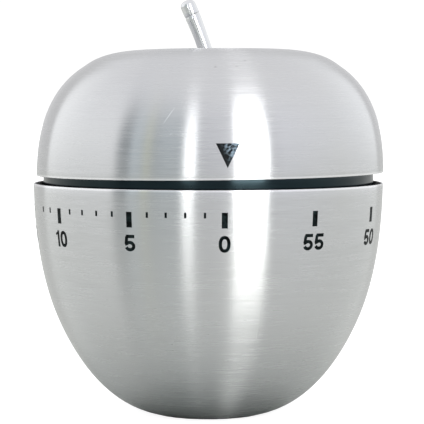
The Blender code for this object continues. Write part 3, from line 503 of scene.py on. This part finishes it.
def upper_skin(material):
    """The dial: the upper half of the casing, with a dimple that the stem comes out of."""
    outer, inner = curve_points(DIAL_CURVE), curve_points(DIAL_CURVE, SKIN)
    bend = LIP / 2
    rim = outer[0][1] + bend
    edge = outer[0][0] - LIP
    outer = [(outer[0][0], rim)] + outer[1:] + [(STEM_HOLE, DIMPLE_FLOOR_Z)]
    inner = [p for p in inner if p[1] > rim + FULL_SKIN_HEIGHT]
    inner = [(edge, rim), (edge, rim + LIP_HEIGHT)] + inner + [(STEM_HOLE, DIMPLE_FLOOR_Z - SKIN)]
    outline = outer + inner[::-1] + half_round(inner[0], outer[0], 1)
    piece = add_piece("upper_skin", askew(lathe(outline)), material, "dial")
    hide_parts("upper_shell")


def collar(material):
    """The moulded inner part of the dial; its collar shows in the gap between the two skins."""
    outline = [(0, 47.0), (2.9, 47.0), (2.9, 37.4), (4.6, 37.4), (4.6, 44.6), (28.2, 44.6)]
    outline += [(28.2, 38.8), (28.35, 38.6), (29.2, 38.6), (29.35, 38.68), (29.4, 38.85)]
    outline += [(29.2, 42.9), (29.8, 43.2), (29.75, 46.8), (28.6, 46.8), (28.2, 46.0)]
    outline += [(4.2, 46.0), (4.2, 60.35), (2.5, 60.35), (2.5, 52.6), (0, 52.6)]
    piece = add_piece("collar", lathe(outline), material, "dial", 30)
    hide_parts("upper_liner")


STEM_RADIUS = 1.22
STEM_TIP_RADIUS = 1.36
STEM_CURVE = ((0.46, 61.2), (-0.72, 65.2), (-2.15, 69.0), (-3.99, 73.05))  # x and z of its centre line
STEM_FOOT = ((0.35, 53.2), (0.35, 60.0))  # the same for its straight foot
STEM_RINGS = (  # share of the way up the curve, radius
    (0.50, 1.23), (0.62, 1.27), (0.70, 1.31), (0.74, 1.33), (0.765, 1.335), (0.772, 1.30), (0.779, 1.27),
    (0.787, 1.27), (0.794, 1.31), (0.801, 1.345), (0.85, 1.36), (0.90, 1.36),
)
STEM_PLAIN_STEPS = 10  # stations on the plain first half of the curve
STEM_DOME = 1.05  # height of the rounded end
DOME_STEPS = 9
DOME_FULLNESS = 0.8  # 1 would be half an ellipsoid, and less is fuller
STEM_SIDES = 72


def stem(material):
    """A slightly bowed polished rod with a rounded end and a fine ring turned in it below the tip."""
    p0, p1, p2, p3 = (Vector(p) for p in STEM_CURVE)

    def spot_at(t):
        u = 1 - t
        return u**3 * p0 + 3 * u * u * t * p1 + 3 * u * t * t * p2 + t**3 * p3

    stations = [(Vector(p), STEM_RADIUS) for p in STEM_FOOT]
    stations += [(spot_at(0.5 * step / STEM_PLAIN_STEPS), STEM_RADIUS) for step in range(STEM_PLAIN_STEPS)]
    stations += [(spot_at(t), radius) for t, radius in STEM_RINGS]
    lean = (p3 - p2).normalized()
    for step in range(1, DOME_STEPS):
        angle = math.pi / 2 * step / DOME_STEPS
        radius = STEM_TIP_RADIUS * math.cos(angle) ** DOME_FULLNESS
        stations.append((p3 - lean * STEM_DOME * (1 - math.sin(angle)), radius))
    bm = bmesh.new()
    rings = []
    for number, (spot, radius) in enumerate(stations):
        before, after = stations[max(number - 1, 0)][0], stations[min(number + 1, len(stations) - 1)][0]
        along = (after - before).normalized()
        across = Vector((along.y, -along.x))
        ring = []
        for side in range(STEM_SIDES):
            angle = math.tau * side / STEM_SIDES
            swing = radius * math.cos(angle)
            x, z = spot.x + swing * across.x, spot.y + swing * across.y
            ring.append(bm.verts.new((x, radius * math.sin(angle), z)))
        rings.append(ring)
    for near, far in zip(rings, rings[1:]):
        for j in range(STEM_SIDES):
            k = (j + 1) % STEM_SIDES
            bm.faces.new((near[j], near[k], far[k], far[j]))
    bm.faces.new(rings[0])
    top = bm.verts.new((p3.x, 0, p3.y))
    for j in range(STEM_SIDES):
        bm.faces.new((rings[-1][j], rings[-1][(j + 1) % STEM_SIDES], top))
    piece = add_piece("stem_rod", bm, material, "dial", 50)
    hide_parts("stem")


# ---- printed marks ----

DIGIT_WIDTH = 1.95
DIGIT_HEIGHT = 2.75
STROKE = 0.55
FLAG_STROKE = 0.34  # of the 1's flag
SLANT_STROKE = 0.38  # of the 4's slant
DIGIT_GAP = 0.33
NUMERAL_BASE_Z = 30.7
TICK_TOP_Z = 37.24
FIVE_MINUTE_TICK = (1.0, 2.57)  # width and length
MINUTE_TICK = (0.38, 0.9)
MINUTE_ANGLE = 6  # degrees
MINUTES_MARKED = 13  # single minutes are marked below this one
INK_PROUD = 0.02
INK_DEPTH = 0.06


def oval(cx, cy, rx, ry, start, end, steps):
    """Points of an elliptical arc, angles in degrees."""
    turns = [math.radians(start + (end - start) * i / steps) for i in range(steps + 1)]
    return [(cx + rx * math.cos(a), cy + ry * math.sin(a)) for a in turns]


def stroke_quads(path, width=STROKE, closed=False):
    """The quads of a line of constant width along a path, mitred where it bends."""
    count = len(path)
    left, right = [], []
    for i, (x, y) in enumerate(path):
        before = path[(i - 1) % count] if closed or i else path[i]
        after = path[(i + 1) % count] if closed or i < count - 1 else path[i]
        ax, ay = x - before[0], y - before[1]
        bx, by = after[0] - x, after[1] - y
        la, lb = math.hypot(ax, ay) or 1, math.hypot(bx, by) or 1
        tx, ty = ax / la + bx / lb, ay / la + by / lb
        length = math.hypot(tx, ty) or 1
        tx, ty = tx / length, ty / length
        cosine = max(0.5, abs(tx * bx + ty * by) / lb) if bx or by else 1
        offset = width / 2 / cosine
        left.append((x - ty * offset, y + tx * offset))
        right.append((x + ty * offset, y - tx * offset))
    last = count if closed else count - 1
    return [(left[i], right[i], right[(i + 1) % count], left[(i + 1) % count]) for i in range(last)]


def digit_quads(digit):
    """Quads of one plain upright digit in a box DIGIT_WIDTH by DIGIT_HEIGHT, and the digit's own width."""
    w, h, s = DIGIT_WIDTH, DIGIT_HEIGHT, STROKE / 2
    if digit == "0":
        loop = []
        steps = 28
        power = 0.86  # 1 would be an oval, and less is squarer
        for i in range(steps):
            a = math.tau * i / steps
            c, d = math.cos(a), math.sin(a)
            x = w / 2 + (w / 2 - s) * math.copysign(abs(c) ** power, c)
            y = h / 2 + (h / 2 - s) * math.copysign(abs(d) ** power, d)
            loop.append((x, y))
        return stroke_quads(loop, closed=True), w
    if digit == "1":
        x = 0.62 * w - 0.1
        flag = [(x, h - 0.1), (x - 0.22, h - 0.42), (x - 0.78, h - 0.66)]
        return stroke_quads([(x, 0), (x, h)]) + stroke_quads(flag, FLAG_STROKE), x + s + 0.05
    if digit == "2":
        hook = oval(w / 2, h - 0.86, w / 2 - s, 0.86 - s, 172, -38, 12)
        slant = [(s + 0.12, 2 * s + 0.02), (s + 0.02, s)]
        return stroke_quads(hook + slant) + stroke_quads([(0, s), (w, s)]), w
    if digit == "3":
        upper = oval(w / 2 - 0.02, h - 0.72, w / 2 - s - 0.06, 0.72 - s, 165, -72, 11)
        lower = oval(w / 2 - 0.02, 0.82, w / 2 - s, 0.82 - s, 78, -165, 12)
        waist = [(0.62, h / 2 + 0.06), (1.1, h / 2 + 0.06)]
        return stroke_quads(upper) + stroke_quads(lower) + stroke_quads(waist), w
    if digit == "4":
        x, bar = 0.70 * w, 0.66
        quads = stroke_quads([(x, 0), (x, h)]) + stroke_quads([(0, bar), (w, bar)])
        return quads + stroke_quads([(0.12, bar), (x - 0.05, h - 0.1)], SLANT_STROKE), w
    if digit == "5":
        bowl = oval(w / 2 - 0.03, 0.88, w / 2 - s + 0.01, 0.88 - s, 138, -160, 15)
        bar, post = [(0.30, h - s), (w - 0.12, h - s)], [(0.44, h - s), (0.27, 1.22)]
        return stroke_quads(bar) + stroke_quads(post) + stroke_quads([(0.06, 1.2), *bowl]), w
    raise ValueError(digit)


def moved(quads, dx, dy):
    return [[(x + dx, y + dy) for x, y in quad] for quad in quads]


def tick_quads(width, length):
    """The left and right halves of a tick that hangs from the top of the scale."""
    half, low, high = width / 2, TICK_TOP_Z - length, TICK_TOP_Z
    left = ((-half, low), (0, low), (0, high), (-half, high))
    right = ((0, low), (half, low), (half, high), (0, high))
    return [left, right]


def wrap_mark(bm, quads, degrees, profile):
    """Add one mark, drawn flat, to a bmesh: joined, wrapped round the profile and given a thin depth."""
    spots, faces = [], []
    for quad in quads:
        faces.append(list(range(len(spots), len(spots) + len(quad))))
        spots += [Vector(p) for p in quad]
    only_inside, join_distance = 1, 1e-4
    flat, _, triangles, _, _, sources = delaunay_2d_cdt(spots, [], faces, only_inside, join_distance)
    triangles = [triangle for triangle, source in zip(triangles, sources) if source]
    layers = []
    for offset in (INK_PROUD, -INK_DEPTH):
        layer = []
        for spot in flat:
            radius = radius_at(profile, spot.y)
            angle = math.radians(degrees) + spot.x / radius
            reach = radius + offset
            layer.append(bm.verts.new((reach * math.cos(angle), reach * math.sin(angle), spot.y)))
        layers.append(layer)
    front, back = layers
    sides = {}
    for a, b, c in triangles:
        bm.faces.new((front[a], front[b], front[c]))
        bm.faces.new((back[c], back[b], back[a]))
        for pair in ((a, b), (b, c), (c, a)):
            key = tuple(sorted(pair))
            sides[key] = None if key in sides else pair
    for pair in filter(None, sides.values()):
        a, b = pair
        bm.faces.new((front[b], front[a], back[a], back[b]))
    loose = [v for v in bm.verts if not v.link_faces]
    bmesh.ops.delete(bm, geom=loose, context="VERTS")


def minute_scale(material):
    """Ticks and numerals printed round the lower skin, as one piece."""
    profile = curve_points(LOWER_CURVE, 0, FINE_STEPS)
    bm = bmesh.new()
    for minute in range(60):
        angle = -90 - MINUTE_ANGLE * minute
        if minute % 5 == 0:
            wrap_mark(bm, tick_quads(*FIVE_MINUTE_TICK), angle, profile)
            drawn, x = [], 0.0
            for digit in str(minute):
                quads, width = digit_quads(digit)
                drawn += moved(quads, x, 0)
                x += width + DIGIT_GAP
            wrap_mark(bm, moved(drawn, -(x - DIGIT_GAP) / 2, NUMERAL_BASE_Z), angle, profile)
        elif minute < MINUTES_MARKED:
            wrap_mark(bm, tick_quads(*MINUTE_TICK), angle, profile)
    add_piece("minute_scale", bm, material, "base", 30)


POINTER_ANGLE = -89.7
POINTER_TOP_Z = 48.5
POINTER_TIP_Z = 44.5
POINTER_HALF_WIDTH = 1.95
POINTER_ROWS = 6


def pointer(material):
    """The inked triangle on the dial that is read against the minutes."""
    profile = curve_points(DIAL_CURVE, 0, FINE_STEPS)
    quads = []
    for row in range(POINTER_ROWS):
        low, high = row / POINTER_ROWS, (row + 1) / POINTER_ROWS
        y0 = POINTER_TIP_Z + (POINTER_TOP_Z - POINTER_TIP_Z) * low
        y1 = POINTER_TIP_Z + (POINTER_TOP_Z - POINTER_TIP_Z) * high
        near, far = POINTER_HALF_WIDTH * low, POINTER_HALF_WIDTH * high
        left = ((-near, y0), (0, y0), (0, y1), (-far, y1))
        right = ((0, y0), (near, y0), (far, y1), (0, y1))
        if row == 0:  # the tip is a point, so its two faces are triangles
            left, right = left[1:], (right[0], *right[2:])
        quads += [left, right]
    bm = bmesh.new()
    wrap_mark(bm, quads, POINTER_ANGLE, profile)
    add_piece("pointer", askew(bm), material, "dial", 30)


# ---- stage: floor, light and camera ----

FLOOR_HALF = 4000.0
FLOOR_Z = -0.05  # just clear of the foot


def floor():
    """A near-white floor, which the steel reflects as a greyer one with a painted shadow that is darkest
    under the timer.
    """
    bm = bmesh.new()
    for x, y in ((-1, -1), (1, -1), (1, 1), (-1, 1)):
        bm.verts.new((x * FLOOR_HALF * MM, y * FLOOR_HALF * MM, FLOOR_Z * MM))
    bm.faces.new(bm.verts)
    mesh = bpy.data.meshes.new("floor")
    bm.to_mesh(mesh)
    bm.free()
    material = bpy.data.materials.new("pale_floor")
    material.use_nodes = True
    tree = Tree(material.node_tree)
    material.node_tree.nodes.remove(material.node_tree.nodes["Principled BSDF"])
    shaded = tree.add("BsdfDiffuse", {"Color": (0.35, 0.35, 0.35, 1)}).outputs[0]
    bright = tree.add("Emission", {"Color": (1, 1, 1, 1), "Strength": 0.92}).outputs[0]
    seen = tree.add("AddShader", {0: shaded, 1: bright}).outputs[0]
    # Painted shadow: in reflections the floor's colour is darkest within 12 mm of the timer's middle and
    # lightens out to 50 mm.
    reach = tree.add("VectorMath", {0: object_point(tree)}, operation="LENGTH").outputs["Value"]
    painted_shadow_fade = tree.remap(reach, 12 * MM, 50 * MM)
    colour = tree.ramp(painted_shadow_fade, ((0, (0.35, 0.38, 0.36)), (1, (0.55, 0.555, 0.53))))
    matt = tree.add("BsdfDiffuse", {"Color": colour}).outputs[0]
    sheen = tree.add("BsdfAnisotropic", {"Color": (0.62, 0.63, 0.60, 1), "Roughness": 0.3}).outputs[0]
    lit = tree.add("MixShader", {0: 0.5, 1: matt, 2: sheen}).outputs[0]
    camera = tree.add("LightPath").outputs["Is Camera Ray"]
    mixed = tree.add("MixShader", {0: camera, 1: lit, 2: seen}).outputs[0]
    tree.put(material.node_tree.nodes["Material Output"].inputs[0], mixed)
    mesh.materials.append(material)
    obj = bpy.data.objects.new("floor", mesh)
    bpy.context.scene.collection.objects.link(obj)


# The studio's walls: degrees round from the camera towards the right of its picture, brightness and,
# where it isn't a cool white, tint. The panels: the same degrees, and the share of their brightness.
COOL_WHITE = (0.99, 1.0, 1.02)
LAVENDER = (0.99, 1.0, 1.07)
GREEN_GREY = (0.89, 1.0, 1.07)
CREAM = (0.98, 1.0, 0.76)
WALLS = (
    (-180, 1.2), (-132, 1.32), (-118, 1.22), (-96, 1.14), (-67, 1.13), (-61.5, 0.30, GREEN_GREY),
    (-56, 0.32, GREEN_GREY), (-52, 0.84, GREEN_GREY), (-46, 0.62, GREEN_GREY), (-42.5, 0.76, CREAM),
    (-37.5, 0.50, GREEN_GREY), (-29, 0.62, GREEN_GREY), (-21, 0.57, GREEN_GREY), (-6, 0.76, LAVENDER),
    (12, 0.88, LAVENDER), (41, 0.80, LAVENDER), (49, 1.0, LAVENDER), (95, 1.03), (143, 1.2), (180, 1.2),
)
PANELS = (
    (-180, 0), (-17.4, 0), (-16.4, 0.5), (-10.2, 0.5), (-8.8, 0),
    (16.0, 0), (17.6, 1), (37.4, 1), (39.2, 0), (180, 0),
)
WALL_PEAK = 1.5  # the ramp of the walls holds shares of this brightness
PANEL_BRIGHTNESS = 3.0
PANEL_CORE = 4.0  # how much brighter the panels are at the object's own height
BACKDROP = (0.72, 0.72, 0.7344)
SKY = (1.0, 1.0, 1.03)

# Where one of these gives way to the next, as parts of a direction of length 1: its rise, and for the
# backdrop its way back.
SKY_RISE = (0.32, 0.85)
PANEL_END_RISE = (0.56, 0.76)
PANEL_CORE_RISE = (0.03, 0.16)
BACKDROP_BACK = (0.735, 0.795)


def studio():
    """A white tent with a greyer backdrop and one wide and one narrow light panel at the front."""
    world = bpy.data.worlds.new("studio")
    bpy.context.scene.world = world
    world.use_nodes = True
    tree = Tree(world.node_tree)
    way = tree.add("TexCoord").outputs["Generated"]
    x, y, z = tree.add("SeparateXYZ", {0: way}).outputs
    heading = tree.math("ARCTAN2", x, tree.math("MULTIPLY", y, -1.0))
    share = tree.math("ADD", tree.math("MULTIPLY", heading, 1 / math.tau), 0.5 - CAMERA_HEADING / 360)
    share = tree.math("FRACT", share)
    stops = []
    for angle, level, *tint in WALLS:
        red, green, blue = tint[0] if tint else COOL_WHITE
        scale = level / WALL_PEAK
        stops.append(((angle + 180) / 360, (red * scale, green * scale, blue * scale)))
    walls = tree.scaled(tree.ramp(share, stops), (WALL_PEAK,) * 3)
    high = tree.remap(z, *SKY_RISE, smooth=True)
    level = tree.mix(high, walls, SKY)
    behind = tree.remap(y, *BACKDROP_BACK, smooth=True)
    level = tree.mix(behind, level, BACKDROP)
    panels = tree.ramp(share, [((angle + 180) / 360, value) for angle, value in PANELS])
    panels = tree.math("MULTIPLY", panels, tree.remap(z, *PANEL_END_RISE, 1.0, 0.0, smooth=True))
    core = tree.remap(tree.math("ABSOLUTE", z), *PANEL_CORE_RISE, PANEL_CORE, 1.0, smooth=True)
    panels = tree.math("MULTIPLY", panels, core)
    panels = tree.math("MULTIPLY", panels, PANEL_BRIGHTNESS)
    level = tree.add("VectorMath", {0: level, 1: panels}, operation="ADD").outputs[0]
    tint = tree.add("Background", {"Color": level, "Strength": 1.0}).outputs[0]
    white = tree.add("Background", {"Color": (1, 1, 1, 1), "Strength": 1.05}).outputs[0]
    camera = tree.add("LightPath").outputs["Is Camera Ray"]
    mixed = tree.add("MixShader", {0: camera, 1: tint, 2: white}).outputs[0]
    tree.put(world.node_tree.nodes["World Output"].inputs[0], mixed)


LAMP_PLACE = (100.0, 100.0, 1500.0)
LAMP_SIZE = 1600.0


def overhead_light():
    """A soft light from above that doesn't show in the reflections."""
    lamp = bpy.data.lights.new("overhead", "AREA")
    lamp.shape = "DISK"
    lamp.size = LAMP_SIZE * MM
    lamp.energy = 14.0
    obj = bpy.data.objects.new("overhead", lamp)
    obj.location = [c * MM for c in LAMP_PLACE]
    obj.visible_glossy = False
    bpy.context.scene.collection.objects.link(obj)


def camera():
    """A long lens a little above the timer's middle, looking slightly down."""
    data = bpy.data.cameras.new("camera")
    data.lens = LENS
    data.sensor_width = SENSOR
    data.clip_start, data.clip_end = 0.01, 20.0
    obj = bpy.data.objects.new("camera", data)
    obj.location = [c * MM for c in CAMERA_PLACE]
    obj.rotation_euler = (math.radians(90 - CAMERA_PITCH), 0, math.radians(CAMERA_HEADING))
    bpy.context.scene.collection.objects.link(obj)
    bpy.context.scene.camera = obj


def main():
    looks = {
        "brushed_steel": brushed_steel(), "polished_steel": polished_steel(), "plate_steel": plate_steel(),
        "spring_steel": spring_steel(), "brass": brass(), "gloss_black": gloss_black(),
        "matte_black": matte_black(), "rubber": rubber(),
    }
    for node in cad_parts.values():
        for part in node.material_slots:
            part.material = looks[part.material.name.split(".")[0]]
    lower_skin(looks["brushed_steel"])
    upper_skin(looks["brushed_steel"])
    collar(looks["gloss_black"])
    housing_lip(looks["matte_black"])
    stem(looks["polished_steel"])
    minute_scale(printed_black())
    pointer(worn_black())
    floor()
    studio()
    overhead_light()
    camera()
    scene = bpy.context.scene
    scene.view_settings.view_transform = "Standard"
    scene.view_settings.look = "None"


main()
